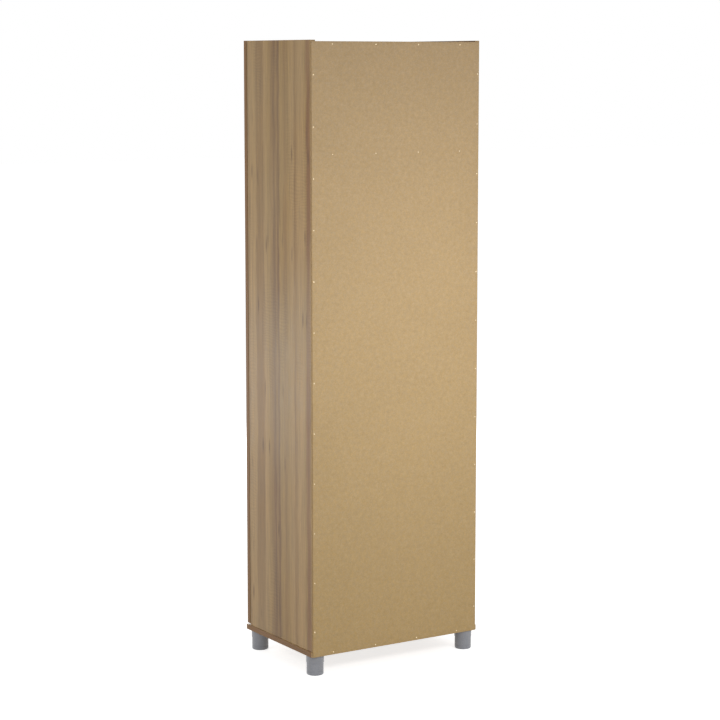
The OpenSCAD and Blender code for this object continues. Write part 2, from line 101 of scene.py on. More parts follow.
class PantryColours(PropertyGroup):
    """Colours of the cabinet's finishes."""

    foil_pale: colour("Foil, pale", "Pale greenish streaks of the wood print", "#ae8c5b")
    foil_tan: colour("Foil, tan", "Main tan of the wood print", "#a2814c")
    foil_brown: colour("Foil, brown", "Brown streaks of the wood print", "#927042")
    foil_dark: colour("Foil, dark", "Dark brown streaks of the wood print", "#765531")
    foil_red: colour("Foil, red", "Reddish streaks of the wood print", "#896138")
    foil_grey: colour("Foil, grey", "Grey tone that drifts through the print", "#a88f68")
    band: colour("Edge band", "Edge band along the doors and boards", "#805a2e")
    chipboard: colour("Chipboard", "Raw particle board at the back edges", "#c4a67b")
    hardboard: colour("Hardboard, top", "Bare hardboard at the top of the back", "#bfa37b")
    hardboard_low: colour("Hardboard, bottom", "Bare hardboard low on the back", "#bfa271")
    foot: colour("Foot plastic", "Grey moulded plastic of the feet", "#909299")
    brad: colour("Brad", "Yellow-passivated steel of the brads", "#f5e5c4")
    nickel: colour("Nickel", "Satin nickel of the handles", "#bdb9b1")
    zinc: colour("Zinc", "Bright zinc of the fittings", "#b9bbbb")
    beech: colour("Beech", "Beech of the dowels", "#c9a878")
    bumper: colour("Bumper", "Clear soft bumpers", "#d8d8d4")


# ---------------------------------------------------------------- modelling helpers


def select_only(*objects):
    """Selects these objects and nothing else, the first one active."""
    bpy.ops.object.select_all(action="DESELECT")
    for item in objects:
        item.select_set(True)
    bpy.context.view_layer.objects.active = objects[0]


def edit(item, mode="FACE"):
    """Goes into edit mode on one object with nothing selected."""
    select_only(item)
    bpy.ops.object.mode_set(mode="EDIT")
    bpy.ops.mesh.select_mode(type=mode)
    bpy.ops.mesh.select_all(action="DESELECT")


def leave_edit():
    bpy.ops.object.mode_set(mode="OBJECT")


def settle(item):
    """Puts the object at the origin, unturned and unscaled, with its place in its mesh."""
    select_only(item)
    bpy.ops.object.transform_apply(location=True, rotation=True, scale=True)


def block(name, low, high):
    """A box between two corners."""
    low, high = Vector(low), Vector(high)
    bpy.ops.object.select_all(action="DESELECT")
    bpy.ops.mesh.primitive_cube_add(size=1, location=(low + high) / 2)
    item = bpy.context.object
    item.name = name
    item.scale = high - low
    settle(item)
    return item


def bevel_all(item, width, segments=2):
    """Rounds every edge of a box."""
    edit(item, "EDGE")
    bpy.ops.mesh.select_all(action="SELECT")
    bpy.ops.mesh.bevel(offset=width, segments=segments, affect="EDGES")
    leave_edit()


def recalculate(item):
    """Merges doubles and turns every face outwards."""
    edit(item)
    bpy.ops.mesh.select_all(action="SELECT")
    bpy.ops.mesh.remove_doubles(threshold=1e-6)
    bpy.ops.mesh.normals_make_consistent(inside=False)
    leave_edit()


def lathe(name, profile, centre, axis="Z", steps=48):
    """Spins an outline of (radius, height) points round an axis through centre."""
    centre = Vector(centre)
    spin_axis = Vector((axis == "X", axis == "Y", axis == "Z"))
    side = Vector((0, 0, 1)) if axis == "X" else Vector((1, 0, 0))
    points = [centre + side * r + spin_axis * h for r, h in profile]
    mesh = bpy.data.meshes.new(name)
    mesh.from_pydata(points, [(i, i + 1) for i in range(len(points) - 1)], [])
    item = bpy.data.objects.new(name, mesh)
    bpy.context.scene.collection.objects.link(item)
    edit(item, "VERT")
    bpy.ops.mesh.select_all(action="SELECT")
    bpy.ops.mesh.spin(steps=steps, angle=2 * math.pi, center=centre, axis=spin_axis)
    leave_edit()
    recalculate(item)
    return item


def arc(centre, radius, start, end, steps=5):
    """Points of a round stretch of an outline; angles in degrees from the radius direction."""
    turns = [math.radians(start + (end - start) * i / steps) for i in range(steps + 1)]
    return [(centre[0] + radius * math.cos(t), centre[1] + radius * math.sin(t)) for t in turns]


def join(name, items):
    select_only(*items)
    bpy.ops.object.join()
    joined = bpy.context.object
    joined.name = name
    return joined


def duplicate(item, offset):
    """A copy with a mesh of its own, moved in its mesh."""
    copy = bpy.data.objects.new(item.name, item.data.copy())
    bpy.context.scene.collection.objects.link(copy)
    copy.data.transform(Matrix.Translation(offset))
    return copy


def cad_copy(node, name):
    """A merged copy of a CAD node, as a new object."""
    copy = bpy.data.objects.new(name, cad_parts[node].data.copy())
    copy.data.materials.clear()
    bpy.context.scene.collection.objects.link(copy)
    edit(copy)
    bpy.ops.mesh.select_all(action="SELECT")
    bpy.ops.mesh.remove_doubles(threshold=1e-6)
    leave_edit()
    # The frame's own shading normals would streak the flat faces
    bpy.ops.mesh.customdata_custom_splitnormals_clear()
    return copy


def loose_boxes(node):
    """(lowest corner, highest corner) of each loose part of a CAD node."""
    mesh = bmesh.new()
    mesh.from_mesh(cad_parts[node].data)
    bmesh.ops.remove_doubles(mesh, verts=mesh.verts, dist=1e-6)
    left, boxes = set(mesh.verts), []
    while left:
        found, edge = set(), {left.pop()}
        while edge:
            found |= edge
            edge = {e.other_vert(v) for v in edge for e in v.link_edges} - found
        left -= found
        corners = list(zip(*(v.co for v in found)))
        boxes.append((Vector(map(min, corners)), Vector(map(max, corners))))
    mesh.free()
    return sorted(boxes, key=lambda pair: tuple(round(c, 5) for c in pair[0]))


def apply_modifier(item, kind, **settings):
    modifier = item.modifiers.new(kind.title(), kind)
    for key, value in settings.items():
        setattr(modifier, key, value)
    select_only(item)
    bpy.ops.object.modifier_apply(modifier=modifier.name)


def smooth(item, angle=35):
    select_only(item)
    bpy.ops.object.shade_smooth_by_angle(angle=math.radians(angle))


def finish_piece(item, body, slot, *nodes):
    """Gives a finished piece its body and hides the CAD nodes that it stands for. The slot is not
    used.
    """
    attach(item, body)
    if nodes:
        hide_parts(*nodes)
    return item


# ---------------------------------------------------------------- material helpers


def add(tree, kind, inputs=None, out=0, stops=None, **settings):
    """Adds a shader node with its settings, ramp stops and inputs, and returns one output."""
    made = tree.nodes.new("ShaderNode" + kind)
    for key, value in settings.items():
        setattr(made, key, value)
    for place, tone in stops or ():
        ramp = made.color_ramp.elements
        point = ramp[0] if place <= 0 else ramp[-1] if place >= 1 else ramp.new(place)
        point.position = place
        point.color = (*tone, 1)
    for name, value in (inputs or {}).items():
        if isinstance(value, bpy.types.NodeSocket):
            tree.links.new(value, made.inputs[name])
        else:
            made.inputs[name].default_value = value
    return made.outputs[out]


def new_material(name):
    """An empty node material, its tree and its object coordinates split into X, Y and Z."""
    material = bpy.data.materials.new(name)
    material.use_nodes = True
    tree = material.node_tree
    tree.nodes.clear()
    place = add(tree, "TexCoord", out="Object")
    split = add(tree, "SeparateXYZ", {0: place}).node
    return material, tree, place, split.outputs


def surface(tree, colour_socket, roughness, height=None, depth=1.0, **constants):
    """Closes a material: a Principled shader with its bump. Constants go on its own sockets."""
    inputs = {"Base Color": colour_socket, "Roughness": roughness}
    inputs.update({SHADER_SOCKETS[key]: value for key, value in constants.items()})
    if height is not None:
        inputs["Normal"] = add(tree, "Bump", {"Height": height, "Distance": depth, "Strength": 1.0})
    shader = add(tree, "BsdfPrincipled", inputs)
    add_output(tree, shader)


def add_output(tree, shader):
    output = tree.nodes.new("ShaderNodeOutputMaterial")
    tree.links.new(shader, output.inputs["Surface"])


def stretched(tree, across, along, per_metre_across, per_metre_along, seed):
    """A vector for a texture whose grain runs along one axis."""
    wide = add(tree, "Math", {0: across, 1: per_metre_across}, operation="MULTIPLY")
    long = add(tree, "Math", {0: along, 1: per_metre_along, 2: seed}, operation="MULTIPLY_ADD")
    return add(tree, "CombineXYZ", {"X": wide, "Y": long, "Z": seed})


def foil(name, across, along, start, width, seed, looks):
    """Melamine foil printed as light walnut: long streaks a few centimetres wide, fine grain
    lines, short dark flecks and a faint cross ripple, under a matt resin skin."""
    material, tree, _, split = new_material(name)
    across, along = split[AXES[across]], split[AXES[along]]
    # Streaks wander by a few millimetres up the board
    drift_at = stretched(tree, across, along, 5, 1.1, seed)
    drift = add(tree, "TexNoise", {"Vector": drift_at, "Scale": 1.0, "Detail": 2.0}, "Fac")
    share = add(tree, "MapRange", {0: across, 1: start, 2: start + width, 3: 0, 4: 1}, clamp=False)
    wander = add(tree, "MapRange", {0: drift, 1: 0, 2: 1, 3: -0.035, 4: 0.015})
    share = add(tree, "Math", {0: share, 1: wander}, operation="ADD")
    ragged_at = stretched(tree, across, along, 60, 9, seed + 6)
    ragged = add(tree, "TexNoise", {"Vector": ragged_at, "Scale": 1.0, "Detail": 4.0}, "Fac")
    ragged = add(tree, "MapRange", {0: ragged, 1: 0, 2: 1, 3: -0.03, 4: 0.03})
    share = add(tree, "Math", {0: share, 1: ragged}, operation="ADD")
    share = add(tree, "Math", {0: share, 1: 1.0}, operation="PINGPONG")
    pale, tan, brown = looks.foil_pale, looks.foil_tan, looks.foil_brown
    dark, red = looks.foil_dark, looks.foil_red
    stops = (
        (0, brown),
        (0.03, pale),
        (0.11, pale),
        (0.14, brown),
        (0.2, brown),
        (0.235, brown),
        (0.27, pale),
        (0.33, tan),
        (0.38, brown),
        (0.425, dark),
        (0.455, brown),
        (0.485, dark),
        (0.52, tan),
        (0.555, tan),
        (0.585, brown),
        (0.64, tan),
        (0.71, pale),
        (0.745, brown),
        (0.79, pale),
        (0.87, pale),
        (0.905, tan),
        (0.93, red),
        (0.96, red),
        (0.975, brown),
        (1, tan),
    )
    base = add(tree, "ValToRGB", {"Fac": share}, "Color", stops)
    # A greyer tone drifts through the print in clouds half a metre long
    tone_at = stretched(tree, across, along, 4, 1.6, seed + 9)
    tone = add(tree, "TexNoise", {"Vector": tone_at, "Scale": 1.0, "Detail": 1.0}, "Fac")
    tone = add(tree, "MapRange", {0: tone, 1: 0.42, 2: 0.7, 3: 0, 4: 0.5})
    base = add(tree, "MixRGB", {"Fac": tone, "Color1": base, "Color2": (*looks.foil_grey, 1)})
    # Streaks about 8 mm wide and half a metre long
    streak_at = stretched(tree, across, along, 110, 3.2, seed + 3)
    streak = add(tree, "TexNoise", {"Vector": streak_at, "Scale": 1.0, "Detail": 3.0}, "Fac")
    streak_tone = add(tree, "MapRange", {0: streak, 1: 0.3, 2: 0.7, 3: 0.88, 4: 1.1})
    # Grain lines, drawn 3 mm wide: the real ones are too fine to show
    grain_at = stretched(tree, across, along, 330, 14, seed + 5)
    grain = add(tree, "TexNoise", {"Vector": grain_at, "Scale": 1.0, "Detail": 4.0}, "Fac")
    grain_tone = add(tree, "MapRange", {0: grain, 1: 0.3, 2: 0.7, 3: 0.88, 4: 1.1})
    # Pores: fine dark dashes
    pore_at = stretched(tree, across, along, 1300, 42, seed + 7)
    pore = add(tree, "TexNoise", {"Vector": pore_at, "Scale": 1.0, "Detail": 1.0}, "Fac")
    pore_tone = add(tree, "MapRange", {0: pore, 1: 0.58, 2: 0.7, 3: 1.0, 4: 0.88})
    # Flecks: dark marks some 5 mm wide and 40 mm long, in about half of the cells
    fleck_at = stretched(tree, across, along, 24, 4.5, seed + 2)
    fleck_inputs = {"Vector": fleck_at, "Scale": 1.0, "Randomness": 1.0}
    fleck = add(tree, "TexVoronoi", fleck_inputs, "Distance", voronoi_dimensions="2D")
    chance = add(tree, "TexVoronoi", fleck_inputs, "Color", voronoi_dimensions="2D")
    chosen = add(tree, "MapRange", {0: chance, 1: 0.5, 2: 0.75, 3: 0, 4: 1})
    fleck = add(tree, "Math", {0: fleck, 1: ragged}, operation="SUBTRACT")
    fleck = add(tree, "MapRange", {0: fleck, 1: 0.03, 2: 0.15, 3: 0.55, 4: 0})
    fleck = add(tree, "Math", {0: fleck, 1: chosen}, operation="MULTIPLY")
    # Ripples 9 mm apart across the grain, only where the print has them
    ripple_at = stretched(tree, across, along, 22, 33, seed)
    ripple = add(
        tree,
        "TexWave",
        {"Vector": ripple_at, "Scale": 1.0, "Distortion": 12.0, "Detail": 2.0, "Detail Scale": 0.6},
        "Fac",
        bands_direction="Y",
    )
    where_at = stretched(tree, across, along, 18, 2.4, seed + 4)
    where = add(tree, "TexNoise", {"Vector": where_at, "Scale": 1.0, "Detail": 0.0}, "Fac")
    where = add(tree, "MapRange", {0: where, 1: 0.55, 2: 0.7, 3: 0, 4: 0.1})
    ripple = add(tree, "Math", {0: ripple, 1: where}, operation="MULTIPLY")
    ripple_tone = add(tree, "Math", {0: 1.0, 1: ripple}, operation="SUBTRACT")
    value = streak_tone
    for factor in (grain_tone, pore_tone, ripple_tone):
        value = add(tree, "Math", {0: value, 1: factor}, operation="MULTIPLY")
    toned = add(tree, "HueSaturation", {"Color": base, "Value": value})
    toned = add(tree, "MixRGB", {"Fac": fleck, "Color1": toned, "Color2": (*srgb("#4c3014"), 1)})
    rough = add(tree, "MapRange", {0: grain, 1: 0.3, 2: 0.7, 3: 0.36, 4: 0.46})
    surface(tree, toned, rough, pore, -0.00006, ior=1.5, specular=0.35)
    return material


def edge_band(name, along, looks):
    """Melamine edge band: the same print in a plainer brown, its grain along the edge."""
    material, tree, _, split = new_material(name)
    along_index = AXES[along]
    others = [split[i] for i in range(3) if i != along_index]
    across = add(tree, "Math", {0: others[0], 1: others[1]}, operation="ADD")
    streak_at = stretched(tree, across, split[along_index], 240, 3.2, 4.0)
    streak = add(tree, "TexNoise", {"Vector": streak_at, "Scale": 1.0, "Detail": 3.0}, "Fac")
    grain_at = stretched(tree, across, split[along_index], 1100, 14, 8.0)
    grain = add(tree, "TexNoise", {"Vector": grain_at, "Scale": 1.0, "Detail": 2.0}, "Fac")
    value = add(tree, "MapRange", {0: streak, 1: 0.3, 2: 0.7, 3: 0.86, 4: 1.1})
    fine = add(tree, "MapRange", {0: grain, 1: 0.3, 2: 0.7, 3: 0.93, 4: 1.06})
    value = add(tree, "Math", {0: value, 1: fine}, operation="MULTIPLY")
    toned = add(tree, "HueSaturation", {"Color": (*looks.band, 1), "Value": value})
    surface(tree, toned, 0.48, grain, -0.00005, ior=1.5, specular=0.35)
    return material


def chipboard(looks):
    """Raw sawn particle board: packed flakes 1 to 3 mm across in tans and browns."""
    material, tree, place, _ = new_material("raw_particle_board")
    flakes = add(tree, "TexVoronoi", {"Vector": place, "Scale": 520.0}, "Color")
    coarse = add(tree, "TexVoronoi", {"Vector": place, "Scale": 230.0}, "Distance")
    dust = add(tree, "TexNoise", {"Vector": place, "Scale": 900.0, "Detail": 2.0}, "Fac")
    value = add(tree, "MapRange", {0: flakes, 1: 0, 2: 1, 3: 0.78, 4: 1.12})
    coarse = add(tree, "MapRange", {0: coarse, 1: 0, 2: 0.8, 3: 1.05, 4: 0.9})
    dust = add(tree, "MapRange", {0: dust, 1: 0.3, 2: 0.7, 3: 0.94, 4: 1.05})
    for factor in (coarse, dust):
        value = add(tree, "Math", {0: value, 1: factor}, operation="MULTIPLY")
    toned = add(tree, "HueSaturation", {"Color": (*looks.chipboard, 1), "Value": value})
    surface(tree, toned, 0.85, flakes, 0.0002)
    return material


def hardboard(looks):
    """Bare hardboard: felted wood fibre, matt, mottled finely, with scattered dark specks."""
    material, tree, place, split = new_material("bare_hardboard")
    fibre_inputs = {"Vector": place, "Scale": 330.0, "Detail": 5.0, "Roughness": 0.7}
    fibre = add(tree, "TexNoise", fibre_inputs, "Fac")
    mottle = add(tree, "TexNoise", {"Vector": place, "Scale": 80.0, "Detail": 4.0}, "Fac")
    cloud = add(tree, "TexNoise", {"Vector": place, "Scale": 7.0, "Detail": 2.0}, "Fac")
    speck = add(tree, "TexVoronoi", {"Vector": place, "Scale": 190.0}, "Distance")
    value = add(tree, "MapRange", {0: fibre, 1: 0.3, 2: 0.7, 3: 0.88, 4: 1.12})
    mottle = add(tree, "MapRange", {0: mottle, 1: 0.3, 2: 0.7, 3: 0.95, 4: 1.05})
    cloud = add(tree, "MapRange", {0: cloud, 1: 0.3, 2: 0.7, 3: 0.985, 4: 1.015})
    for factor in (mottle, cloud):
        value = add(tree, "Math", {0: value, 1: factor}, operation="MULTIPLY")
    high = add(tree, "MapRange", {0: split[2], 1: 0.0, 2: 1.9, 3: 0, 4: 1})
    tones = {"Fac": high, "Color1": (*looks.hardboard_low, 1), "Color2": (*looks.hardboard, 1)}
    base = add(tree, "MixRGB", tones)
    warmth = add(tree, "TexNoise", {"Vector": place, "Scale": 250.0, "Detail": 2.0}, "Fac")
    warmth = add(tree, "MapRange", {0: warmth, 1: 0.3, 2: 0.7, 3: 0.93, 4: 1.08})
    toned = add(tree, "HueSaturation", {"Color": base, "Value": value, "Saturation": warmth})
    dark = add(tree, "MapRange", {0: speck, 1: 0.02, 2: 0.12, 3: 0.22, 4: 0})
    toned = add(tree, "MixRGB", {"Fac": dark, "Color1": toned, "Color2": (*srgb("#7d6242"), 1)})
    surface(tree, toned, 0.78, fibre, 0.00025)
    return material


def moulded_plastic(looks):
    """Injection-moulded polypropylene: satin, with a faint orange peel from the mould."""
    material, tree, place, _ = new_material("moulded_grey_polypropylene")
    peel = add(tree, "TexNoise", {"Vector": place, "Scale": 700.0, "Detail": 2.0}, "Fac")
    cloud = add(tree, "TexNoise", {"Vector": place, "Scale": 45.0, "Detail": 2.0}, "Fac")
    value = add(tree, "MapRange", {0: cloud, 1: 0.3, 2: 0.7, 3: 0.97, 4: 1.03})
    toned = add(tree, "HueSaturation", {"Color": (*looks.foot, 1), "Value": value})
    gloss = add(tree, "MapRange", {0: peel, 1: 0.3, 2: 0.7, 3: 0.2, 4: 0.3})
    surface(tree, toned, gloss, peel, 0.00005, ior=1.49, specular=0.8)
    return material


def plated_metal(name, tone, roughness, grain_axis, along_scale, across_scale):
    """Plated steel: a metal colour with fine drawn or tumbled lines in its roughness."""
    material, tree, place, split = new_material(name)
    index = AXES[grain_axis]
    others = [split[i] for i in range(3) if i != index]
    across = add(tree, "Math", {0: others[0], 1: others[1]}, operation="ADD")
    line_at = stretched(tree, across, split[index], across_scale, along_scale, 2.0)
    lines = add(tree, "TexNoise", {"Vector": line_at, "Scale": 1.0, "Detail": 3.0}, "Fac")
    stain = add(tree, "TexNoise", {"Vector": place, "Scale": 60.0, "Detail": 2.0}, "Fac")
    value = add(tree, "MapRange", {0: stain, 1: 0.3, 2: 0.7, 3: 0.95, 4: 1.04})
    toned = add(tree, "HueSaturation", {"Color": (*tone, 1), "Value": value})
    smoothest, roughest = roughness * 0.8, roughness * 1.25
    rough = add(tree, "MapRange", {0: lines, 1: 0.3, 2: 0.7, 3: smoothest, 4: roughest})
    surface(tree, toned, rough, lines, 0.00002, metallic=1.0)
    return material


def beech(looks):
    """Turned beech with compressed flutes: pale, with short rays."""
    material, tree, place, _ = new_material("fluted_beech")
    rays = add(tree, "TexNoise", {"Vector": place, "Scale": 500.0, "Detail": 3.0}, "Fac")
    value = add(tree, "MapRange", {0: rays, 1: 0.3, 2: 0.7, 3: 0.88, 4: 1.08})
    toned = add(tree, "HueSaturation", {"Color": (*looks.beech, 1), "Value": value})
    surface(tree, toned, 0.6, rays, 0.0001)
    return material


def soft_bumper(looks):
    """Clear polyurethane: glossy, slightly milky, lets some light through."""
    material, tree, place, _ = new_material("clear_polyurethane")
    cloud = add(tree, "TexNoise", {"Vector": place, "Scale": 300.0, "Detail": 2.0}, "Fac")
    value = add(tree, "MapRange", {0: cloud, 1: 0.3, 2: 0.7, 3: 0.95, 4: 1.03})
    toned = add(tree, "HueSaturation", {"Color": (*looks.bumper, 1), "Value": value})
    gloss = add(tree, "MapRange", {0: cloud, 1: 0.3, 2: 0.7, 3: 0.2, 4: 0.3})
    surface(tree, toned, gloss, ior=1.49, transmission=0.4)
    return material


def made(name, maker, *inputs):
    """A material by name, made once."""
    return bpy.data.materials.get(name) or maker(*inputs)


# ---------------------------------------------------------------- boards


def cut_to_frame(item, node):
    """Cuts a rounded box to the bores of its CAD board."""
    cutter = cad_copy(node, "cutter")
    apply_modifier(item, "BOOLEAN", operation="INTERSECT", solver="EXACT", object=cutter)
    bpy.data.objects.remove(cutter)


def board(node, thickness, finishes, raw_back=True):
    """A foiled board: rounded, bored as its CAD node, with foil, edge band and raw faces."""
    low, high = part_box(node)
    sizes = bpy.context.scene.pantry_sizes
    item = block("foiled_" + node, low, high)
    bevel_all(item, sizes.board_round)
    cut_to_frame(item, node)
    for material in finishes:
        item.data.materials.append(material)
    flat = AXES[thickness]
    near = 2 * sizes.board_round
    for face in item.data.polygons:
        side = max(range(3), key=lambda i: abs(face.normal[i]))
        edge = high[side] if face.normal[side] > 0 else low[side]
        outside = abs(face.center[side] - edge) < near
        back = side == 1 and face.normal[1] > 0 and raw_back
        if side == flat and outside:
            face.material_index = 0
        elif outside and not back:
            face.material_index = 2 if side == 2 or (flat == 2 and side == 0) else 1
        else:
            face.material_index = 3
    # Under the bevel's 22.5 degree steps, so that the bored faces stay evenly flat
    smooth(item, 20)
    return item


def upright_finishes(across, start, width, seed, name):
    looks = bpy.context.scene.pantry_colours
    return (
        made(name, foil, name, across, "Z", start, width, seed, looks),
        made("edge_band_upright", edge_band, "edge_band_upright", "Z", looks),
        made("edge_band_across_" + across, edge_band, "edge_band_across_" + across, across, looks),
        made("raw_particle_board", chipboard, looks),
    )


def level_finishes(start, width, seed, name):
    looks = bpy.context.scene.pantry_colours
    return (
        made(name, foil, name, "Y", "X", start, width, seed, looks),
        made("edge_band_across_X", edge_band, "edge_band_across_X", "X", looks),
        made("edge_band_across_Y", edge_band, "edge_band_across_Y", "Y", looks),
        made("raw_particle_board", chipboard, looks),
    )


class PANTRY_OT_sides(Operator):
    """Make the two side panels."""

    bl_idname = "pantry.sides"
    bl_label = "Side panels"

    def execute(self, context):
        for hand, seed in zip(HANDS, (0.0, 31.0)):
            node = hand + "_side_panel"
            low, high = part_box(node)
            finishes = upright_finishes("Y", low.y, high.y - low.y, seed, "walnut_foil_" + node)
            finish_piece(board(node, "X", finishes), "root", "board_foil", node)
        return {"FINISHED"}


class PANTRY_OT_levels(Operator):
    """Make the top, the base and the shelves."""

    bl_idname = "pantry.levels"
    bl_label = "Top, base and shelves"

    def execute(self, context):
        nodes = ("top_panel", "base_panel", "fixed_shelf")
        shelves = ("lower_loose_shelf", "middle_loose_shelf", "upper_loose_shelf")
        low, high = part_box("top_panel")
        for index, node in enumerate(nodes + shelves):
            name = "walnut_foil_levels_" + ("a", "b", "c")[index % 3]
            finishes = level_finishes(low.y, high.y - low.y, 50.0 + 7 * (index % 3), name)
            finish_piece(board(node, "Z", finishes), "root", "board_foil", node)
        return {"FINISHED"}


class PANTRY_OT_doors(Operator):
    """Make the two doors."""

    bl_idname = "pantry.doors"
    bl_label = "Doors"

    def execute(self, context):
        for hand, seed in zip(HANDS, (14.0, 77.0)):
            node = hand + "_door_panel"
            low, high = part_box(node)
            start = low.x - (high.x - low.x) * 0.15
            width = (high.x - low.x) * 1.3
            finishes = upright_finishes("X", start, width, seed, "walnut_foil_" + node)
            piece = board(node, "Y", finishes, raw_back=False)
            finish_piece(piece, hand + "_door", "door_foil", node)
        return {"FINISHED"}


# ---------------------------------------------------------------- back and brads


class PANTRY_OT_back(Operator):
    """Make the hardboard back, pulled in a little at each brad."""

    bl_idname = "pantry.back"
    bl_label = "Hardboard back"

    def execute(self, context):
        sizes, looks = context.scene.pantry_sizes, context.scene.pantry_colours
        low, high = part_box("back_panel")
        cell = 9 * MM
        item = block("hardboard_back", low, high)
        edit(item)
        for axis, count in ((0, int((high.x - low.x) / cell)), (2, int((high.z - low.z) / cell))):
            normal = Vector((axis == 0, 0, axis == 2))
            for i in range(1, count):
                at = low.copy()
                at[axis] += (high[axis] - low[axis]) * i / count
                bpy.ops.mesh.select_all(action="SELECT")
                bpy.ops.mesh.bisect(plane_co=at, plane_no=normal)
        leave_edit()
        heads = [(a + b) / 2 for a, b in loose_boxes("back_brads")]
        reach = 14 * MM
        for point in item.data.vertices:
            if point.co.y < high.y - MM:
                continue
            across = (point.co.x - low.x) / (high.x - low.x)
            up = (point.co.z - low.z) / (high.z - low.z)
            wave = math.sin(across * math.pi * 4) * math.sin(up * math.pi * 12)
            drop = sizes.sheet_wave * (0.5 - 0.5 * wave) * math.sin(across * math.pi)
            for head in heads:
                away = math.hypot(point.co.x - head.x, point.co.z - head.z)
                if away < 3 * reach:
                    drop += sizes.sheet_dimple * math.exp(-((away / reach) ** 2)) * 0.5
            point.co.y -= min(drop, 0.8 * MM)
        apply_modifier(item, "BEVEL", width=0.5 * MM, segments=2, limit_method="ANGLE")
        item.data.materials.append(made("bare_hardboard", hardboard, looks))
        smooth(item, 40)
        finish_piece(item, "root", "hardboard", "back_panel")
        return {"FINISHED"}


class PANTRY_OT_brads(Operator):
    """Make the domed brads that hold the back."""

    bl_idname = "pantry.brads"
    bl_label = "Brads"

    def execute(self, context):
        looks = context.scene.pantry_colours
        boxes = loose_boxes("back_brads")
        low, high = boxes[0]
        radius = (high.x - low.x) / 2
        shank = 0.75 * MM
        sheet_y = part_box("back_panel")[1].y
        lift = high.y - sheet_y
        profile = [(0, low.y + 2 * MM), (shank, low.y + 4 * MM), (shank, sheet_y - 0.3 * MM)]
        profile += [(radius, sheet_y - 0.3 * MM), (radius, sheet_y + 0.25 * lift)]
        profile += [(radius * 0.86, sheet_y + 0.62 * lift), (radius * 0.55, sheet_y + 0.88 * lift)]
        profile += [(0, high.y)]
        centre = Vector(((low.x + high.x) / 2, 0, (low.z + high.z) / 2))
        first = lathe("domed_brads", profile, centre, "Y", steps=20)
        copies = [first]
        for other_low, other_high in boxes[1:]:
            move = (other_low + other_high) / 2 - (low + high) / 2
            copies.append(duplicate(first, move))
        item = join("domed_brads", copies)
        name = "passivated_steel"
        steel = made(name, plated_metal, name, looks.brad, 0.45, "Y", 300, 300)
        item.data.materials.append(steel)
        smooth(item, 50)
        finish_piece(item, "root", "brad_steel", "back_brads")
        return {"FINISHED"}


# ---------------------------------------------------------------- feet


class PANTRY_OT_feet(Operator):
    """Make the four feet and their collars."""

    bl_idname = "pantry.feet"
    bl_label = "Feet"

    def execute(self, context):
        sizes, looks = context.scene.pantry_sizes, context.scene.pantry_colours
        plastic = made("moulded_grey_polypropylene", moulded_plastic, looks)
        collar_low, collar_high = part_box("foot_collars")
        collars = []
        for foot in FEET:
            low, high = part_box(foot)
            centre = Vector(((low.x + high.x) / 2, (low.y + high.y) / 2, 0))
            radius = (high.x - low.x) / 2
            outline = self.foot_outline(radius, high.z, sizes)
            piece = lathe("moulded_" + foot, outline, centre, steps=72)
            piece.data.materials.append(plastic)
            smooth(piece, 40)
            finish_piece(piece, foot, "foot_plastic", foot)
            collar_radius = collar_high.x - abs(centre.x)
            outline = self.collar_outline(collar_radius, collar_low.z, collar_high.z, radius)
            collars.append(lathe("moulded_collars", outline, centre, steps=72))
        item = join("moulded_collars", collars)
        item.data.materials.append(plastic)
        smooth(item, 40)
        finish_piece(item, "root", "foot_plastic", "foot_collars")
        return {"FINISHED"}

    def foot_outline(self, radius, top, sizes):
        """A cup that stands on a flat ring, with a round bottom edge and one groove."""
        edge, wall, floor = 4 * MM, 3 * MM, 4 * MM
        groove_z, groove = 11.5 * MM, sizes.foot_groove
        points = [(0, 0.6 * MM), (radius - 9 * MM, 0.6 * MM), (radius - 8.4 * MM, 0)]
        points += arc((radius - edge, edge), edge, -90, 0, 7)
        points += [(radius, groove_z - 1.6 * groove), (radius - groove, groove_z - 0.6 * groove)]
        points += [(radius - groove, groove_z + 0.6 * groove), (radius, groove_z + 1.6 * groove)]
        points += [(radius, top - 0.6 * MM), (radius - 0.6 * MM, top), (radius - wall, top)]
        points += [(radius - wall, floor), (6 * MM, floor), (6 * MM, top - 1 * MM)]
        points += [(5 * MM, top), (0, top)]
        return points

    def collar_outline(self, radius, low, high, foot_radius):
        """A round cap whose skirt hangs over the foot, with a boss for the stem."""
        inner, plate = foot_radius + 0.25 * MM, 3 * MM
        points = [(6.05 * MM, high - plate), (6.05 * MM, low + 4 * MM), (9 * MM, low + 4 * MM)]
        points += [(9 * MM, high - plate), (inner, high - plate), (inner, low + 0.4 * MM)]
        points += [(inner + 0.3 * MM, low), (radius - 0.5 * MM, low)]
        points += arc((radius - 0.5 * MM, low + 0.5 * MM), 0.5 * MM, -90, 0, 3)
        points += [(radius, high - 3.2 * MM), (radius - 0.35 * MM, high - 2.8 * MM)]
        points += [(radius - 0.35 * MM, high - 0.4 * MM), (radius - 0.7 * MM, high), (0, high)]
        return [(0, high - plate)] + points


# ---------------------------------------------------------------- handles


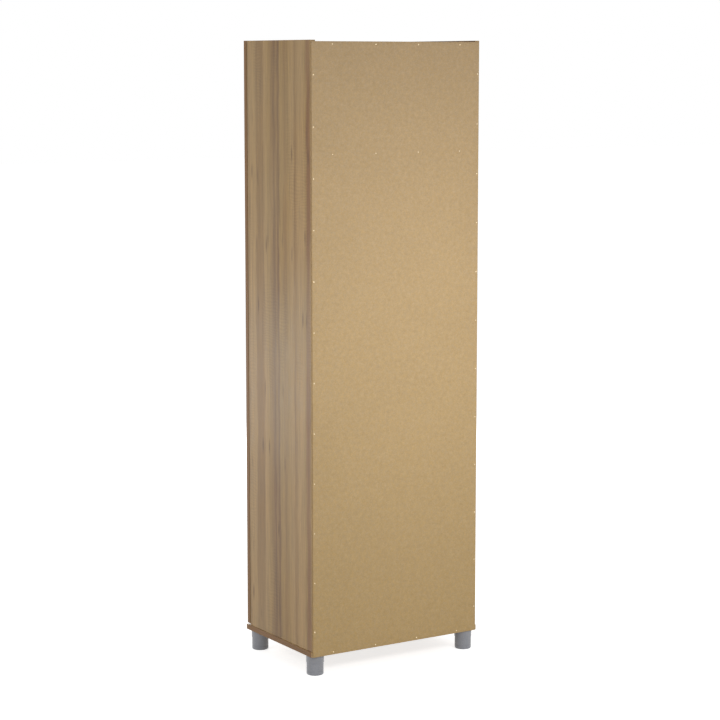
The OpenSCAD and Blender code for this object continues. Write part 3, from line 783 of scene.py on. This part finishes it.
class PANTRY_OT_handles(Operator):
    """Make the two bar handles."""

    bl_idname = "pantry.handles"
    bl_label = "Handles"

    def execute(self, context):
        looks = context.scene.pantry_colours
        name = "satin_nickel"
        nickel = made(name, plated_metal, name, looks.nickel, 0.3, "Z", 25, 2600)
        for hand in HANDS:
            node = hand + "_handle"
            low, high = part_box(node)
            screws = loose_boxes(node + "_screws")
            radius = (high.x - low.x) / 2
            x = (low.x + high.x) / 2
            bar_y = low.y + radius
            ends = 1.6 * MM
            length_up = high.z - low.z
            bar = [(0, 0), *arc((radius - ends, ends), ends, -90, 0, 4)]
            bar += [(r, length_up - h) for r, h in reversed(bar)]
            pieces = [lathe(node, bar, (x, bar_y, low.z), "Z", steps=40)]
            for screw_low, screw_high in screws:
                z = (screw_low.z + screw_high.z) / 2
                pieces.append(lathe(node, self.post(high.y - bar_y), (x, bar_y, z), "Y", steps=32))
            item = join("satin_" + node, pieces)
            item.data.materials.append(nickel)
            smooth(item, 40)
            finish_piece(item, hand + "_door", "handle_nickel", node)
        return {"FINISHED"}

    def post(self, reach):
        """A post that flares a little where it meets the door."""
        thin, flare = 4.5 * MM, 5.6 * MM
        points = [(0, 0), (thin, 0), (thin, reach - 4 * MM)]
        points += [(thin + 0.3 * MM, reach - 2.6 * MM), (flare, reach - 1.4 * MM)]
        return points + [(flare, reach), (0, reach)]


# ---------------------------------------------------------------- fittings


def rounded_copy(node, name, width, material, body, slot, segments=2):
    """A CAD fitting with its sharp edges rounded."""
    item = cad_copy(node, name)
    edit(item)
    bpy.ops.mesh.select_all(action="SELECT")
    bpy.ops.mesh.dissolve_limited(angle_limit=math.radians(1))
    leave_edit()
    apply_modifier(
        item,
        "BEVEL",
        width=width,
        segments=segments,
        limit_method="ANGLE",
        angle_limit=math.radians(50),
        use_clamp_overlap=True,
    )
    item.data.materials.append(material)
    smooth(item, 40)
    return finish_piece(item, body, slot, node)


class PANTRY_OT_hinges(Operator):
    """Make the hinges: plates and arms on the sides, cups and pins in the doors."""

    bl_idname = "pantry.hinges"
    bl_label = "Hinges"

    def execute(self, context):
        sizes, looks = context.scene.pantry_sizes, context.scene.pantry_colours
        name = "nickel_plated_steel"
        metal = made(name, plated_metal, name, looks.nickel, 0.24, "Y", 200, 900)
        width = sizes.metal_round
        for hand in HANDS:
            door = hand + "_door"
            for node in (hand + "_hinge_plates", hand + "_hinge_arms"):
                rounded_copy(node, "pressed_" + node, width, metal, "root", "zinc_steel")
            for node in (hand + "_hinge_cups", hand + "_hinge_pins"):
                rounded_copy(node, "pressed_" + node, width, metal, door, "nickel_steel", 1)
        return {"FINISHED"}


class PANTRY_OT_fittings(Operator):
    """Make the cam locks, bolts, dowels, screws, shelf pins and bumpers."""

    bl_idname = "pantry.fittings"
    bl_label = "Fittings"

    def execute(self, context):
        sizes, looks = context.scene.pantry_sizes, context.scene.pantry_colours
        zinc = made("bright_zinc", plated_metal, "bright_zinc", looks.zinc, 0.34, "Z", 400, 700)
        wood = made("fluted_beech", beech, looks)
        clear = made("clear_polyurethane", soft_bumper, looks)
        width = sizes.metal_round
        in_root = ("cam_locks", "cam_bolts", "base_screws", "shelf_pins")
        in_root += ("hinge_plate_screws", "hinge_arm_screws", "collar_screws")
        for node in in_root:
            rounded_copy(node, "zinc_" + node, width, zinc, "root", "zinc_steel", 1)
        rounded_copy("wood_dowels", "beech_wood_dowels", 2 * width, wood, "root", "beech", 1)
        for hand in HANDS:
            body = hand + "_door"
            for node in (hand + "_cup_screws", hand + "_handle_screws"):
                rounded_copy(node, "zinc_" + node, width, zinc, body, "nickel_steel", 1)
            node = hand + "_door_bumpers"
            rounded_copy(node, "clear_" + node, 3 * width, clear, body, "bumper_rubber", 3)
        return {"FINISHED"}


# ---------------------------------------------------------------- stage


def floor_material():
    """A pale studio floor: white, matt, with the light of an endless sweep for the camera."""
    material, tree, place, _ = new_material("pale_studio_floor")
    grain = add(tree, "TexNoise", {"Vector": place, "Scale": 40.0, "Detail": 2.0}, "Fac")
    value = add(tree, "MapRange", {0: grain, 1: 0.3, 2: 0.7, 3: 0.995, 4: 1.005})
    tone = add(tree, "HueSaturation", {"Color": (0.8, 0.8, 0.8, 1), "Value": value})
    matt = add(tree, "BsdfDiffuse", {"Color": tone})
    glow = add(tree, "Emission", {"Color": (1, 1, 1, 1), "Strength": 0.74})
    lit = add(tree, "AddShader", {0: matt, 1: glow})
    seen = seen_directly(tree)
    add_output(tree, add(tree, "MixShader", {0: seen, 1: matt, 2: lit}))
    return material


def seen_directly(tree):
    """1 for camera, glossy and transmission rays."""
    camera = add(tree, "LightPath", out="Is Camera Ray")
    glossy = add(tree, "LightPath", out="Is Glossy Ray")
    through = add(tree, "LightPath", out="Is Transmission Ray")
    either = add(tree, "Math", {0: camera, 1: glossy}, operation="MAXIMUM")
    return add(tree, "Math", {0: either, 1: through}, operation="MAXIMUM")


def soft_box(name, place, aim, size, power):
    bpy.ops.object.light_add(type="AREA", location=place)
    lamp = bpy.context.object
    lamp.name = name
    lamp.data.shape = "RECTANGLE"
    lamp.data.size, lamp.data.size_y = size
    lamp.data.energy = power
    lamp.rotation_euler = (Vector(aim) - Vector(place)).to_track_quat("-Z", "Y").to_euler()
    lamp.visible_camera = False


class PANTRY_OT_stage(Operator):
    """Make the floor, the light and the camera."""

    bl_idname = "pantry.stage"
    bl_label = "Stage"

    def execute(self, context):
        bpy.ops.mesh.primitive_plane_add(size=60, location=(0, 0, 0))
        floor = context.object
        floor.name = "studio_floor"
        floor.data.materials.append(floor_material())
        self.world(context)
        soft_box("back_soft_box", (-0.2, 1.52, 1.14), (-0.05, 0.2, 1.12), (0.5, 0.5), 10.5)
        soft_box("side_soft_box", (2.1, 0.2, 1.5), (0.3, 0.1, 1.3), (0.8, 0.8), 10)
        soft_box("sheen_soft_box", (1.9, -2.6, 0.44), (0.3, 0.1, 0.9), (0.9, 0.5), 7.5)
        soft_box("front_soft_box", (-1.6, -3.6, 1.7), (0, 0, 0.95), (2.0, 2.0), 60)
        self.camera(context)
        context.scene.view_settings.view_transform = "Standard"
        return {"FINISHED"}

    def world(self, context):
        world = bpy.data.worlds.new("white_room")
        world.use_nodes = True
        tree = world.node_tree
        tree.nodes.clear()
        soft = add(tree, "Background", {"Color": (1, 1, 1, 1), "Strength": 0.4})
        white = add(tree, "Background", {"Color": (1, 1, 1, 1), "Strength": 1.0})
        mixed = add(tree, "MixShader", {0: seen_directly(tree), 1: soft, 2: white})
        output = tree.nodes.new("ShaderNodeOutputWorld")
        tree.links.new(mixed, output.inputs["Surface"])
        context.scene.world = world

    def camera(self, context):
        place, aim = Vector((3.475, 5.486, 1.823)), Vector((-0.005, 0, 0.977))
        bpy.ops.object.camera_add(location=place)
        camera = context.object
        camera.rotation_euler = (aim - place).to_track_quat("-Z", "Y").to_euler()
        camera.data.lens = 106.1
        camera.data.sensor_width = 36
        camera.data.shift_y = -0.03
        camera.data.clip_end = 100
        context.scene.camera = camera


class PANTRY_PT_panel(Panel):
    """Lists the cabinet's operators, sizes and colours."""

    bl_label = "Pantry Cabinet"
    bl_idname = "PANTRY_PT_panel"
    bl_space_type = "VIEW_3D"
    bl_region_type = "UI"
    bl_category = "Pantry"

    def draw(self, context):
        for operator in OPERATORS:
            self.layout.operator(operator.bl_idname)
        for group in (context.scene.pantry_sizes, context.scene.pantry_colours):
            for key in group.bl_rna.properties.keys()[2:]:
                self.layout.prop(group, key)


OPERATORS = (
    PANTRY_OT_stage,
    PANTRY_OT_sides,
    PANTRY_OT_levels,
    PANTRY_OT_doors,
    PANTRY_OT_back,
    PANTRY_OT_brads,
    PANTRY_OT_feet,
    PANTRY_OT_handles,
    PANTRY_OT_hinges,
    PANTRY_OT_fittings,
)
CLASSES = (PantrySizes, PantryColours, *OPERATORS, PANTRY_PT_panel)


def register():
    for item in CLASSES:
        bpy.utils.register_class(item)
    bpy.types.Scene.pantry_sizes = PointerProperty(type=PantrySizes)
    bpy.types.Scene.pantry_colours = PointerProperty(type=PantryColours)


def unregister():
    del bpy.types.Scene.pantry_sizes
    del bpy.types.Scene.pantry_colours
    for item in reversed(CLASSES):
        bpy.utils.unregister_class(item)


def main():
    register()
    for operator in OPERATORS:
        group, name = operator.bl_idname.split(".")
        getattr(getattr(bpy.ops, group), name)()


if __name__ == "__main__":
    main()
